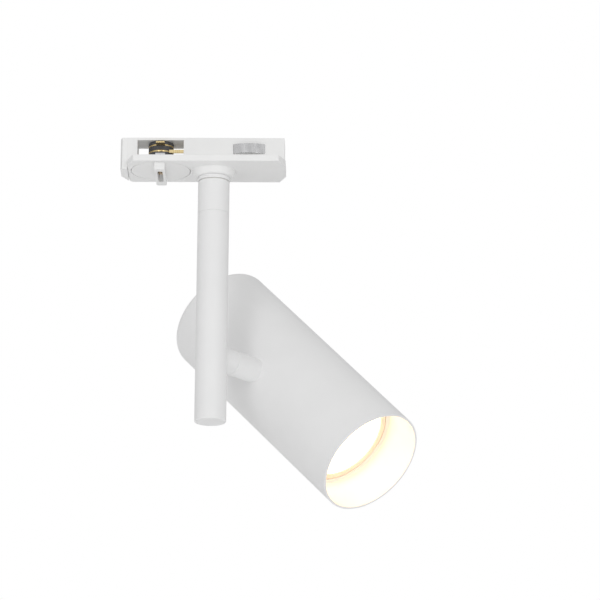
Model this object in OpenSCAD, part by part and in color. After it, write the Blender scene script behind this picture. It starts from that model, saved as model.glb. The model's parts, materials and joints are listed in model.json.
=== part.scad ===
// Track spotlight: a lever-locked track adapter, a hanging pole and an offset lamp head.
// The origin is on the pan axis, in the plane where the adapter cover seats on the track.
// X runs along the track and Z points up.

/* [Adapter] */
// Distance from the pan axis to the left end of the cover
cover_left = 44; // [43.5:0.5:46]
// Distance from the pan axis to the right end of the cover
cover_right = 36.6; // [36:0.2:44]
// Width of the cover across the track
cover_w = 34.6; // [34:0.2:37]
// Thickness of the cover below the track
cover_t = 3.3; // [3:0.1:4]
// Width of the block that enters the slot of the track
block_w = 13.6; // [13.6:0.1:15]
// Height of that block above the seat
block_h = 12.5; // [12.5:0.1:14]
// Distance from the pan axis to the axis of the locking lever
lock_x = 27.2; // [27:0.1:27.6]
// Diameter of the disc that carries the locking lever
disc_d = 30; // [28:0.5:30]
// Length of the lever bar
lever_l = 26.4; // [22:0.2:27]
// Width of the lever bar
lever_w = 5.3; // [4.8:0.1:6]
// Height of the lever bar below the cover
lever_h = 3.85; // [3:0.05:5]

/* [Pole] */
// Outer diameter of the pole
pole_d = 16; // [16:0.5:18]
// Length of the pole below the neck
pole_l = 126.4; // [110:0.2:200]
// Length of the upper sleeve of the pole
sleeve_l = 17; // [15:0.5:25]
// Height of the tilt axis above the lower end of the pole
tilt_rise = 34.6; // [30:0.2:45]

/* [Head] */
// Outer diameter of the lamp head
head_d = 57; // [56.6:0.2:62]
// Overall length of the lamp head
head_l = 137.2; // [130:0.2:150]
// Distance from the tilt axis to the front rim of the head
head_front = 74.8; // [74:0.2:80]
// Distance from the pan axis to the axis of the head
head_offset = 61; // [58:0.5:70]
// Depth of the lamp face behind the front rim
lamp_recess = 22.4; // [20:0.1:24]

/* [Pose] */
// Direction of the tilt axis, turned from the track
pan_angle = 52.5; // [0:0.5:90]
// Slope of the head below the horizontal
tilt_angle = 43; // [0:0.5:90]

/* [Hidden] */
$fn = 96;
eps = 0.01;

// Levels and radii of the adapter
half_w = cover_w / 2;
half_block = block_w / 2;
seat_sink = 0.6;
seat_gap = 0.1;
wall = 1.2;
floor_t = 1.8;
screw_places = [16, 30.5];
screw_r = 1.2;
bay_half = half_block - wall;
nose_x = 3.6;
nose_half = half_block - 0.2;
nose_drop = 0.9;
nose_flare = 12.8;
key_cut_x = 1.2;
key_cut_y = 2;
end_cut_x = 3.4;
end_cut_y = 8.6;
disc_t = 2;
disc_gap = 0.25;
rotor_r = 6.4;
hub_r = 3;
boss_r = 11;
boss_draft = 0.6;
boss_round = 1;
neck_top = -7;
neck_bottom = -8.9;
neck_r = 8.25;

// Contact strips, side springs and leads of the adapter
strip_y = 5;
strip_end = 10;
strip_t = 0.4;
spring_x = 10;
spring_l = 16;
spring_t = 0.4;
spring_bow = 1.9;
lead_level = 10.2;

// Levels of the rotor parts above the seat
cam_z = 2.3;
cam_t = 1.2;
live_z = 5.4;
neutral_z = 8.6;
blade_t = 0.8;
blade_w = 4.4;
blade_tip = 10.8;
cam_tip = 9.6;
rotor_top = 10.9;
bay_top = 11.2;
bay_reach = 11.8;

// Pan joint
nipple_r = 4;
nipple_bore = 2.5;
nipple_top = 7.5;
run_gap = 0.05;
flange_top = -13.3;
flange_bottom = -15.2;
flange_r = 4.9;
stop_r = 5.7;
stop_pin_r = 0.6;
pole_top = -9.2;
sleeve_wall_bottom = -12.1;
sleeve_bore = 6.5;
bush_r = 5;

// Pole
pole_r = pole_d / 2;
pole_bottom = pole_top - pole_l;
pole_wall = 1;
seam_z = pole_top - sleeve_l;
spigot_l = 10;
tilt_z = pole_bottom + tilt_rise;

// Tilt joint, measured along the tilt axis from the pan axis
stub_r = 6.5;
stub_split = 14.5;
stub_chamfer = 0.45;
washer_t = 0.2;
tube_r = 3;
tube_bore = 2.2;
spigot_r = 4.5;
tube_start = 2.2;

// Cable
cable_r = 1.9;
lead_r = 0.6;
bend_r = 7.6;
cable_split_z = -16.5;

// Head
head_r = head_d / 2;
head_wall = 1.2;
head_in = head_r - head_wall;
head_rear = head_front - head_l;
rear_t = 2;
rear_round = 3.5;
tube_end = head_offset - 20.5;
bracket_x = -26.2;
bracket_t = 1.2;
foot_z = -10.6;
cable_down_x = tube_end - head_offset + 0.5 + bend_r;
holder_screw_x = 5.4;
earth_x = -19.8;
earth_y = 3.4;
lead_start = foot_z - 5;

// Lamp
lamp_face = head_front - lamp_recess;
lamp_r = 25.2;
bezel_w = 2.95;
lamp_base_z = 6.4;
pin_pitch = 10;
pin_r = 1.3;
pin_head_r = 2.4;
pin_l = 7;
twist = 20;
holder_rear = foot_z + bracket_t;

// ---- frames ----

module lock_frame() {
    translate([-lock_x, 0, 0]) children();
}

module stub_frame() {
    translate([0, 0, tilt_z]) rotate([0, 0, pan_angle]) children();
}

// Z points out of the front of the head and X away from the pole.
module head_frame() {
    stub_frame() translate([head_offset, 0, 0]) rotate([90 + tilt_angle, 0, 0]) children();
}

// ---- shared shapes ----

module along_x(from, to, r) {
    translate([from, 0, 0]) rotate([0, 90, 0]) cylinder(h = to - from, r = r);
}

module ring(from, to, outer, inner) {
    translate([0, 0, from]) difference() {
        cylinder(h = to - from, r = outer);
        translate([0, 0, -1]) cylinder(h = to - from + 2, r = inner);
    }
}

module ring_x(from, to, outer, inner) {
    difference() {
        along_x(from, to, outer);
        along_x(from - 1, to + 1, inner);
    }
}

module block(low, high) {
    translate(low) cube(high - low);
}

function unit(v) = v / norm(v);

// A route through corner points, with each inner corner rounded over a given distance
function rounded_route(points, reach, steps = 5) =
    let (last = len(points) - 1)
    concat([points[0]],
        [for (i = [1 : 1 : last - 1])
            let (a = points[i] + reach * unit(points[i - 1] - points[i]),
                b = points[i] + reach * unit(points[i + 1] - points[i]))
            for (k = [0 : steps])
                let (t = k / steps)
                (1 - t) * (1 - t) * a + 2 * t * (1 - t) * points[i] + t * t * b],
        [points[last]]);

// A round tube swept along a route; no stretch of the route may run along the side vector
module swept_tube(route, r, side, sides = 8) {
    last = len(route) - 1;
    rings = [for (i = [0 : last])
        let (ahead = unit(route[min(i + 1, last)] - route[max(i - 1, 0)]),
            u = unit(cross(side, ahead)),
            v = cross(ahead, u))
        for (k = [0 : sides - 1])
            route[i] + r * (cos(360 * k / sides) * u + sin(360 * k / sides) * v)];
    walls = [for (i = [0 : last - 1]) for (k = [0 : sides - 1])
        let (a = i * sides + k, b = i * sides + (k + 1) % sides)
        [a, a + sides, b + sides, b]];
    start_cap = [for (k = [0 : sides - 1]) k];
    end_cap = [for (k = [sides - 1 : -1 : 0]) last * sides + k];
    polyhedron(points = rings, faces = concat(walls, [start_cap], [end_cap]), convexity = 6);
}

// A lead that goes down, turns back on itself and ends going up
module lead_u_turn(p, q, r) {
    d = q - p;
    span = norm([d[0], d[1]]);
    translate(p) rotate([0, 0, atan2(d[1], d[0])]) {
        translate([span / 2, 0, 0]) rotate([90, 0, 0])
            rotate_extrude(angle = -180) translate([span / 2, 0]) circle(r = r, $fn = 24);
        translate([span, 0, 0]) cylinder(h = d[2], r = r, $fn = 24);
    }
}

module hex_nut(h, flats, bore) {
    difference() {
        cylinder(h = h, d = flats / cos(30), $fn = 6);
        translate([0, 0, -1]) cylinder(h = h + 2, r = bore);
    }
}

// ---- adapter body ----

// Three corners are cut off deeply and the fourth only a little, which keys the adapter
module cover_outline() {
    l = cover_left;
    r = cover_right;
    c = half_w - end_cut_y;
    polygon([[end_cut_x - l, -half_w], [r - end_cut_x, -half_w], [r, -c], [r, c],
        [r - end_cut_x, half_w], [key_cut_x - l, half_w], [-l, half_w - key_cut_y], [-l, -c]]);
}

// A plate with a shallow seat for the base, a recess for the disc and a boss for the neck
module adapter_cover() {
    recess_top = -cover_t + disc_t + 0.1;
    color("white") difference() {
        union() {
            translate([0, 0, -cover_t]) linear_extrude(cover_t) cover_outline();
            boss();
        }
        block([-cover_left - 1, -half_block - seat_gap, -seat_sink],
            [cover_right - 0.6 + seat_gap, half_block + seat_gap, 1]);
        lock_frame() translate([0, 0, -cover_t - 1])
            cylinder(h = recess_top + cover_t + 1, r = disc_d / 2 + disc_gap);
        lock_frame() translate([0, 0, -cover_t]) cylinder(h = cover_t + 1, r = rotor_r + 0.3);
        translate([0, 0, neck_top - 1]) cylinder(h = -neck_top + 2, r = nipple_r + 0.1);
        for (x = screw_places) translate([x, 0, -cover_t + 0.7]) cylinder(h = cover_t, r = screw_r + 0.05);
    }
}

// The boss that carries the neck, with a steep wall and a round shoulder
module boss() {
    root = -cover_t + 0.5;
    shoulder = boss_r - boss_draft - boss_round;
    rotate_extrude() {
        polygon([[0, root], [boss_r, root], [boss_r, -cover_t],
            [shoulder + boss_round, neck_top + boss_round], [shoulder, neck_top], [0, neck_top]]);
        translate([shoulder, neck_top + boss_round]) circle(r = boss_round);
    }
}

module adapter_base() {
    color("whitesmoke") difference() {
        union() {
            block([-cover_left, -half_block, -seat_sink], [cover_right - 0.6, half_block, block_h]);
            base_nose();
        }
        lock_frame() {
            block([-bay_reach, -half_block - 1, floor_t], [bay_reach, half_block + 1, bay_top]);
            translate([0, 0, -1]) cylinder(h = floor_t + 2, r = rotor_r + 0.3);
            translate([0, 0, bay_top - 1]) cylinder(h = block_h, r = hub_r + 0.1);
        }
        block([-lock_x + bay_reach + 1.4, -bay_half, floor_t],
            [cover_right - 1.8, bay_half, block_h + 1]);
        translate([0, 0, -1]) cylinder(h = floor_t + 2, r = nipple_r + 0.1);
        for (x = screw_places) translate([x, 0, -1]) cylinder(h = floor_t + 2, r = screw_r + 0.15);
        strip_slot(-1, live_z);
        strip_slot(1, neutral_z);
        for (side = [-1, 1]) spring_slot(side);
    }
}

// The tongue past the left end of the cover, which flares on one side below the seat
module base_nose() {
    tip = -cover_left - nose_x;
    root = -cover_left - 0.1;
    low = -cover_t - nose_drop;
    near = [[tip + 1, -nose_half], [tip, -nose_half + 2.5]];
    translate([0, 0, low]) linear_extrude(-low) polygon(concat([[root, -nose_half]], near,
        [[tip, nose_half - 1], [tip + 0.6, nose_half], [root, nose_flare]]));
    linear_extrude(block_h) polygon(concat([[-cover_left + 1, -nose_half]], near,
        [[tip, nose_half - 2.5], [tip + 1, nose_half], [-cover_left + 1, nose_half]]));
}

module strip_slot(side, z) {
    y = side * strip_y;
    block([-lock_x + bay_reach - 1, y - strip_t, z - 0.5],
        [-lock_x + bay_reach + 2, y + strip_t, z + blade_t + 0.5]);
}

module spring_slot(side) {
    block([spring_x - 0.1, min(0, side * (half_block + 1)), 3.9],
        [spring_x + 0.5, max(0, side * (half_block + 1)), 9.1]);
}

module adapter_lid() {
    color("whitesmoke")
        block([-lock_x + bay_reach + 1.5, -bay_half + 0.1, block_h - 1.1],
            [cover_right - 1.9, bay_half - 0.1, block_h]);
}

module base_screws() {
    color("silver") for (x = screw_places) translate([x, 0, 0]) {
        translate([0, 0, -2.4]) cylinder(h = floor_t + 2.4 + eps, r = screw_r);
        translate([0, 0, floor_t]) difference() {
            cylinder(h = 1.6, r = 2.4);
            translate([0, 0, 0.8]) cylinder(h = 1, r = 1, $fn = 6);
        }
    }
}

module neck_ring() {
    color("white") rotate_extrude()
        polygon([[nipple_r + 0.1, neck_top], [neck_r, neck_top], [neck_r, neck_bottom + 0.3],
            [neck_r - 0.3, neck_bottom], [nipple_r + 0.1, neck_bottom]]);
}

// A hollow bolt whose lower flange holds the pole up
module pan_nipple() {
    color("silver") difference() {
        union() {
            translate([0, 0, flange_bottom]) cylinder(h = nipple_top - flange_bottom, r = nipple_r);
            translate([0, 0, flange_bottom]) cylinder(h = flange_top - flange_bottom, r = flange_r);
            block([-sleeve_bore + 0.2, -0.3, flange_bottom], [0, 0.3, flange_top]);
        }
        translate([0, 0, flange_bottom - 1]) cylinder(h = nipple_top - flange_bottom + 2, r = nipple_bore);
    }
}

module nipple_washer() {
    color("silver") ring(floor_t, floor_t + 0.6, 5.5, nipple_r + 0.1);
}

module nipple_nut() {
    color("goldenrod") translate([0, 0, floor_t + 0.6]) hex_nut(3.2, 11, nipple_r + eps);
}

// A spring strip that wipes the rim of a blade's ring
module contact_strip(side, z) {
    half_t = strip_t / 2;
    reach = sqrt(rotor_r * rotor_r - pow(strip_y - half_t, 2)) + 0.12;
    block([-lock_x + reach, side * strip_y - half_t, z - 0.4],
        [-strip_end, side * strip_y + half_t, z + blade_t + 0.4]);
}

module live_strip() {
    color("goldenrod") contact_strip(-1, live_z);
}

module neutral_strip() {
    color("goldenrod") contact_strip(1, neutral_z);
}

// A bowed strip on the side of the block with a tab through its wall
module side_spring(side) {
    steps = 10;
    root = half_block - 2.4;
    side_y = half_block + 0.05;
    function bowed(i, out) =
        [spring_x + spring_l * i / steps, side_y + out + spring_bow * sin(180 * i / steps)];
    tab = [[spring_x, root], [spring_x + spring_t, root], [spring_x + spring_t, side_y]];
    inner = [for (i = [1 : steps]) bowed(i, 0)];
    outer = [for (i = [steps : -1 : 0]) bowed(i, spring_t)];
    translate([0, 0, 4]) linear_extrude(5)
        polygon([for (p = concat(tab, inner, outer)) [p[0], side * p[1]]]);
}

module earth_spring() {
    color("silver") side_spring(-1);
}

module retaining_spring() {
    color("silver") side_spring(1);
}

module live_lead_adapter() {
    color("saddlebrown") swept_tube(rounded_route([[-1, -0.9, 8.6], [-1, -0.9, lead_level],
        [-8.5, -4, lead_level], [-11, -4.2, live_z]], 1.4), lead_r, [0.6, -1, 0.2]);
}

module neutral_lead_adapter() {
    color("royalblue") swept_tube(rounded_route([[-1, 0.9, 8.6], [-1, 0.9, lead_level],
        [-8, 4, lead_level], [-11, 4.2, neutral_z]], 1.4), lead_r, [0.6, 1, 0.2]);
}

module earth_lead_adapter() {
    color("limegreen") swept_tube(rounded_route([[1.1, 0, 8.6], [1.1, 0, lead_level],
        [7.5, -2.5, lead_level], [9.4, -4.9, 7]], 1.4), lead_r, [0.4, 1, 0.2]);
}

module cable_adapter() {
    color("gainsboro") translate([0, 0, cable_split_z])
        cylinder(h = 8.6 - cable_split_z, r = cable_r, $fn = 48);
}

// ---- locking lever body ----

module lock_lever() {
    near = -disc_d / 2;
    window_l = 16.8;
    color("white") lock_frame() difference() {
        union() {
            translate([0, 0, -cover_t]) cylinder(h = disc_t, r = disc_d / 2);
            translate([0, 0, -cover_t - lever_h]) linear_extrude(lever_h + eps) lever_outline(near);
        }
        translate([0, near + 4 + window_l / 2, -cover_t - lever_h - 1]) linear_extrude(lever_h + 1)
            lever_window(window_l);
        translate([0, 0, -cover_t - 1]) cylinder(h = disc_t + 2, r = 1);
    }
}

// A bar with square corners at the near end and round ones at the far end
module lever_outline(near) {
    round_r = 1.3;
    far = near + lever_l;
    intersection() {
        translate([-disc_d / 2, -disc_d / 2]) square(disc_d);
        union() {
            translate([-lever_w / 2, near + 0.15]) square([lever_w, lever_l - round_r - 0.15]);
            translate([round_r - lever_w / 2, far - round_r - 1])
                square([lever_w - 2 * round_r, round_r + 1]);
            for (side = [-1, 1]) translate([side * (lever_w / 2 - round_r), far - round_r])
                circle(r = round_r);
        }
    }
}

module lever_window(length) {
    r = 1.35;
    square([2 * r, length - 2 * r], center = true);
    for (side = [-1, 1]) translate([0, side * (length / 2 - r)]) circle(r = r);
}

module rotor_plate(z, t, reach_low, reach_high, w) {
    translate([0, 0, z]) linear_extrude(t) difference() {
        union() {
            circle(r = rotor_r);
            translate([-w / 2, reach_low]) square([w, reach_high - reach_low]);
        }
        circle(r = hub_r);
    }
}

module cam_shape() {
    rotor_plate(cam_z, cam_t, -cam_tip, cam_tip, 5);
}

module live_shape() {
    rotor_plate(live_z, blade_t, 0, blade_tip, blade_w);
}

module neutral_shape() {
    rotor_plate(neutral_z, blade_t, -blade_tip, 0, blade_w);
}

module contact_rotor() {
    low = -cover_t + disc_t;
    color("dimgray") lock_frame() difference() {
        union() {
            translate([0, 0, low]) cylinder(h = rotor_top - low, r = rotor_r);
            translate([0, 0, low]) cylinder(h = block_h + 1.2 - low, r = hub_r);
        }
        cam_shape();
        live_shape();
        neutral_shape();
        translate([0, 0, low - 1]) cylinder(h = 6, r = 1);
        ring(block_h + 0.1, block_h + 0.7, hub_r + 1, hub_r - 0.7);
    }
}

module lock_cam() {
    color("silver") lock_frame() cam_shape();
}

module live_blade() {
    color("goldenrod") lock_frame() live_shape();
}

module neutral_blade() {
    color("goldenrod") lock_frame() neutral_shape();
}

module rotor_screw() {
    head = -cover_t - 1.5;
    color("chocolate") lock_frame() difference() {
        union() {
            translate([0, 0, head]) cylinder(h = 1.5, r = 1.25);
            translate([0, 0, -cover_t - eps]) cylinder(h = 5.2, r = 0.95);
        }
        block([-0.25, -2, head - 1], [0.25, 2, head + 0.5]);
    }
}

module rotor_circlip() {
    color("silver") lock_frame() difference() {
        ring(block_h + 0.15, block_h + 0.65, 4.4, hub_r - 0.65);
        block([-0.9, 0, block_h], [0.9, 6, block_h + 1]);
    }
}

// ---- pole body ----

module pole_sleeve() {
    spigot_outer = pole_r - pole_wall - 0.05;
    color("white") difference() {
        rotate_extrude() polygon([[bush_r, pole_top], [pole_r - 0.4, pole_top], [pole_r, pole_top - 0.4],
            [pole_r, seam_z + 0.15], [pole_r - 0.15, seam_z], [spigot_outer, seam_z],
            [spigot_outer, seam_z - spigot_l], [spigot_outer - 1.4, seam_z - spigot_l],
            [spigot_outer - 1.4, seam_z + 2], [sleeve_bore, seam_z + 4],
            [sleeve_bore, sleeve_wall_bottom], [bush_r, sleeve_wall_bottom]]);
        translate([stop_r, 0, sleeve_wall_bottom - 1]) cylinder(h = 3.1, r = stop_pin_r);
    }
}

// A flanged nylon bush that turns on the nipple
module pan_bush() {
    color("ivory") rotate_extrude() polygon([[nipple_r + run_gap, neck_bottom - 0.05],
        [7.4, neck_bottom - 0.05], [7.4, pole_top], [bush_r, pole_top],
        [bush_r, sleeve_wall_bottom], [nipple_r + run_gap, sleeve_wall_bottom]]);
}

// A coned spring washer that loads the pan joint
module pan_spring() {
    t = 0.5;
    low = flange_top + 0.05;
    high = sleeve_wall_bottom - 0.05;
    color("silver") rotate_extrude() polygon([[nipple_r + 0.15, high - t], [flange_r, low],
        [flange_r, low + t], [nipple_r + 0.15, high]]);
}

module pan_stop_pin() {
    color("silver") translate([stop_r, 0, flange_bottom]) cylinder(h = 4.9, r = stop_pin_r);
}

module pole_tube() {
    color("white") difference() {
        rotate_extrude() polygon([[pole_r - pole_wall, seam_z - 0.02], [pole_r - 0.15, seam_z - 0.02],
            [pole_r, seam_z - 0.17], [pole_r, pole_bottom + 0.6], [pole_r - 0.18, pole_bottom + 0.18],
            [pole_r - 0.6, pole_bottom], [pole_r - pole_wall, pole_bottom]]);
        stub_frame() along_x(0, pole_r + 2, spigot_r + 0.05);
    }
}

module pole_end_plug() {
    plug_r = pole_r - pole_wall - 0.03;
    color("white") rotate_extrude() polygon([[0, pole_bottom], [plug_r, pole_bottom],
        [plug_r, pole_bottom + 9], [plug_r - 1.4, pole_bottom + 9], [plug_r - 1.4, pole_bottom + 2],
        [0, pole_bottom + 2]]);
}

// The half of the stub that is fixed to the pole
module stub_fixed() {
    end = stub_split - washer_t / 2;
    color("white") stub_frame() difference() {
        union() {
            difference() {
                rotate([0, 90, 0]) rotate_extrude() polygon([[0, 4], [stub_r, 4],
                    [stub_r, end - stub_chamfer], [stub_r - stub_chamfer, end], [0, end]]);
                translate([0, 0, -10]) cylinder(h = 20, r = pole_r + 0.02);
            }
            along_x(5.6, 10, spigot_r);
        }
        along_x(0, stub_split + 1, tube_r + eps);
    }
}

module tilt_tube() {
    color("silver") stub_frame() ring_x(tube_start, tube_end, tube_r, tube_bore);
}

module tilt_nut_pole() {
    color("goldenrod") stub_frame() translate([tube_start + 0.6, 0, 0]) rotate([0, 90, 0])
        hex_nut(2.7, 8, tube_r + eps);
}

module tilt_nut_head() {
    color("goldenrod") stub_frame() translate([head_offset + bracket_x + bracket_t + 0.95, 0, 0])
        rotate([0, 90, 0]) hex_nut(3, 10, tube_r + eps);
}

module tilt_spring() {
    start = head_offset + bracket_x + bracket_t + 0.05;
    color("silver") stub_frame() rotate([0, 90, 0]) rotate_extrude() polygon([
        [tube_r + 0.1, start + 0.5], [4.8, start], [4.8, start + 0.4], [tube_r + 0.1, start + 0.9]]);
}

module tilt_washer() {
    color("ivory") stub_frame() ring_x(stub_split - washer_t / 2, stub_split + washer_t / 2 - 0.05,
        stub_r - 0.6, tube_r + 0.05);
}

// The cable bulges away from the stub so that it can turn into it without a kink
module cable_pole() {
    entry = tube_start + 1.4;
    x = entry - bend_r;
    split = cable_split_z - tilt_z;
    bend = [for (a = [0 : 15 : 90]) [entry - bend_r * cos(a), 0, bend_r - bend_r * sin(a)]];
    color("gainsboro") stub_frame() swept_tube(concat(
        rounded_route([[0, 0, split], [0, 0, split - 14], [x, 0, bend_r + 14], [x, 0, bend_r + 1]], 5),
        bend, [[tube_end - 8, 0, 0], [tube_end + 0.5, 0, 0]]), cable_r, [0, 1, 0], 12);
}

// ---- head body ----

// A drawn can with a closed rear and an open front
module head_housing() {
    color("white") head_frame() difference() {
        rotate_extrude($fn = 180) difference() {
            union() {
                translate([0, head_rear + rear_round])
                    square([head_r, head_l - rear_round - 0.25]);
                translate([0, head_rear]) square([head_r - rear_round, rear_round + 1]);
                translate([head_r - rear_round, head_rear + rear_round]) circle(r = rear_round, $fn = 64);
                translate([0, head_front - 0.5]) square([head_r - 0.25, 0.5]);
            }
            polygon([[-1, head_rear + rear_t], [head_in - 2, head_rear + rear_t],
                [head_in, head_rear + rear_t + 2], [head_in, head_front - 0.3],
                [head_in + 1.3, head_front + 1], [-1, head_front + 1]]);
        }
        along_x(-head_r - 2, -head_in + 6, spigot_r + 0.05);
    }
}

// The half of the stub that turns with the head
module stub_turning() {
    start = stub_split + washer_t / 2 - head_offset;
    color("white") head_frame() difference() {
        union() {
            difference() {
                rotate([0, 90, 0]) rotate_extrude() polygon([[0, start],
                    [stub_r - stub_chamfer, start], [stub_r, start + stub_chamfer],
                    [stub_r, -head_r + 4], [0, -head_r + 4]]);
                translate([0, 0, -10]) cylinder(h = 20, r = head_r + 0.02, $fn = 180);
            }
            along_x(start + 1, bracket_x - 0.5, spigot_r);
        }
        along_x(start - 1, 0, tube_r + run_gap);
    }
}

// Fills the hollow between the round wall and the flat bracket
module saddle_washer() {
    color("silver") head_frame() intersection() {
        difference() {
            along_x(-head_in - 1, bracket_x, 7.5);
            along_x(-head_in - 2, 0, spigot_r + 0.1);
        }
        translate([0, 0, -10]) cylinder(h = 20, r = head_in - 0.02, $fn = 180);
    }
}

// A bent steel bracket clamped by the tilt joint
module lamp_bracket() {
    half = 8;
    top = 8;
    far = 9.5;
    color("silver") head_frame() difference() {
        intersection() {
            union() {
                block([bracket_x, -half, foot_z], [bracket_x + bracket_t, half, top]);
                block([bracket_x, -half, foot_z], [far, half, foot_z + bracket_t]);
            }
            translate([0, 0, foot_z - 1]) cylinder(h = top - foot_z + 2, r = head_in - 0.1);
        }
        along_x(bracket_x - 1, 0, tube_r + 0.1);
        translate([cable_down_x, 0, foot_z - 1]) cylinder(h = 4, r = 2.6);
        for (side = [-1, 1]) {
            translate([side * holder_screw_x, 0, foot_z - 1]) cylinder(h = 4, r = 1.6);
            translate([0, side * pin_pitch / 2, foot_z - 1]) cylinder(h = 4, r = 1.4);
        }
        translate([earth_x, earth_y, foot_z - 1]) cylinder(h = 4, r = 1.6);
    }
}

// A ceramic two-pin twist holder
module lampholder() {
    half_x = 9;
    half_y = 14;
    head_low = lamp_base_z - pin_l - 0.6;
    head_high = lamp_base_z - 3.6;
    color("linen") head_frame() difference() {
        intersection() {
            block([-half_x, -half_y, holder_rear], [half_x, half_y, lamp_base_z - 0.1]);
            translate([0, 0, holder_rear - 1]) cylinder(h = 30, r = 14.2);
        }
        for (side = [-1, 1]) {
            holder_slot(side, pin_r + 0.2, head_low, lamp_base_z + 1);
            holder_slot(side, pin_head_r + 0.2, head_low, head_high);
            rotate([0, 0, twist]) translate([0, side * pin_pitch / 2, head_low])
                cylinder(h = 20, r = pin_head_r + 0.2);
            block([-2.6, side * pin_pitch / 2 - 2.6, holder_rear + 2],
                [2.6, side * pin_pitch / 2 + 2.6, head_low + 0.5]);
            translate([0, side * pin_pitch / 2, holder_rear - 1]) cylinder(h = 4, r = 0.9);
            translate([side * holder_screw_x, 0, holder_rear - 1]) cylinder(h = 7, r = 1.25);
        }
    }
}

// The curved way of one pin, from its entry hole to its locked place
module holder_slot(side, r, low, high) {
    start = side > 0 ? 90 : 270;
    translate([0, 0, low]) {
        rotate([0, 0, start]) rotate_extrude(angle = twist)
            translate([pin_pitch / 2 - r, 0]) square([2 * r, high - low]);
        translate([0, side * pin_pitch / 2, 0]) cylinder(h = high - low, r = r);
    }
}

module holder_screws() {
    color("silver") head_frame() for (side = [-1, 1]) translate([side * holder_screw_x, 0, 0]) {
        translate([0, 0, foot_z - eps]) cylinder(h = 5.5, r = 1.2);
        translate([0, 0, foot_z - 1.5]) difference() {
            cylinder(h = 1.5, r = 2.4);
            translate([0, 0, -0.5]) cylinder(h = 1.2, r = 0.9, $fn = 6);
        }
    }
}

module holder_contacts() {
    color("goldenrod") head_frame() for (side = [-1, 1]) translate([0, side * pin_pitch / 2, 0]) {
        block([-2.2, -2.2, holder_rear + 2.05], [2.2, 2.2, holder_rear + 2.65]);
        translate([-0.4, -2, holder_rear + 2.6]) cube([0.8, 0.5, 4]);
        translate([0, 0, holder_rear - 0.4]) cylinder(h = 2.5, r = 0.8);
    }
}

module earth_tag() {
    color("gold") head_frame() difference() {
        union() {
            translate([earth_x, earth_y, foot_z - 0.6]) cylinder(h = 0.6, r = 3);
            block([earth_x - 1.2, -3.4, foot_z - 0.6], [earth_x + 1.2, earth_y, foot_z]);
        }
        translate([earth_x, earth_y, foot_z - 2]) cylinder(h = 4, r = 1.55);
    }
}

module earth_screw() {
    color("silver") head_frame() translate([earth_x, earth_y, 0]) {
        translate([0, 0, foot_z - 0.7]) cylinder(h = 5, r = 1.5);
        translate([0, 0, foot_z - 2.2]) cylinder(h = 1.6, r = 2.6);
        translate([0, 0, foot_z + bracket_t]) cylinder(h = 1.8, d = 5.5 / cos(30), $fn = 6);
    }
}

// A white ring that centres the lamp in the can
module lamp_collar() {
    color("white") head_frame() rotate_extrude($fn = 180) polygon([
        [lamp_r + 0.25, lamp_face - 5], [head_in - 0.03, lamp_face - 5], [head_in - 0.03, lamp_face],
        [lamp_r + 0.6, lamp_face], [lamp_r + 0.25, lamp_face - 0.5]]);
}

module cable_head() {
    color("gainsboro") head_frame() {
        translate([cable_down_x - bend_r, 0, -bend_r]) rotate([90, 0, 0])
            rotate_extrude(angle = 90) translate([bend_r, 0]) circle(r = cable_r, $fn = 24);
        translate([cable_down_x, 0, lead_start])
            cylinder(h = -lead_start - bend_r, r = cable_r, $fn = 48);
    }
}

module live_lead_head() {
    color("saddlebrown") head_frame() lead_u_turn([cable_down_x + 0.6, 0.9, lead_start],
        [0, pin_pitch / 2, holder_rear - 0.4], lead_r);
}

module neutral_lead_head() {
    color("royalblue") head_frame() lead_u_turn([cable_down_x + 0.6, -0.9, lead_start],
        [0, -pin_pitch / 2, holder_rear - 0.4], lead_r);
}

module earth_lead_head() {
    color("limegreen") head_frame() lead_u_turn([cable_down_x - 1.1, 0, lead_start],
        [earth_x, -2.4, foot_z - 0.6], lead_r);
}

// ---- lamp body ----

module lamp_shell() {
    base_r = 13;
    inner = 1.6;
    color("whitesmoke") head_frame() difference() {
        rotate_extrude($fn = 180) difference() {
            polygon([[0, lamp_base_z], [base_r - 1, lamp_base_z], [base_r, lamp_base_z + 1],
                [base_r, lamp_base_z + 9], [base_r + 3, lamp_base_z + 14], [lamp_r - 3.5, lamp_face - 9],
                [lamp_r, lamp_face - 5.5], [lamp_r, lamp_face - 0.4], [lamp_r - 0.4, lamp_face],
                [0, lamp_face]]);
            polygon([[0, lamp_base_z + inner], [base_r - inner, lamp_base_z + inner],
                [base_r - inner, lamp_base_z + 9], [base_r + 3 - inner, lamp_base_z + 15],
                [lamp_r - 3.5 - inner, lamp_face - 8], [lamp_r - inner - 0.6, lamp_face - 5],
                [lamp_r - bezel_w, lamp_face - 3], [lamp_r - bezel_w, lamp_face + 1], [0, lamp_face + 1]]);
        }
        for (side = [-1, 1]) translate([0, side * pin_pitch / 2, lamp_base_z - 1])
            cylinder(h = 4, r = pin_r + eps);
    }
}

module lamp_lens() {
    lens_r = lamp_r - bezel_w - 0.05;
    dome = 0.5;
    top = lamp_face - 0.3;
    steps = 6;
    front = [for (i = [0 : steps]) let (k = i / steps) [lens_r * k, top - dome * k * k]];
    color("lightyellow") head_frame() rotate_extrude($fn = 180)
        polygon(concat([[0, top - 2.3]], front, [[lens_r, top - 2.3]]));
}

module led_board() {
    level = lamp_face - 9;
    board_r = lamp_r - 3.5 - 1.9;
    color("white") head_frame() {
        translate([0, 0, level]) cylinder(h = 1.2, r = board_r - 0.8);
        for (i = [0 : 5]) rotate([0, 0, 60 * i]) translate([11, 0, level + 1.2 - eps])
            linear_extrude(0.8) square(3, center = true);
    }
}

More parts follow.
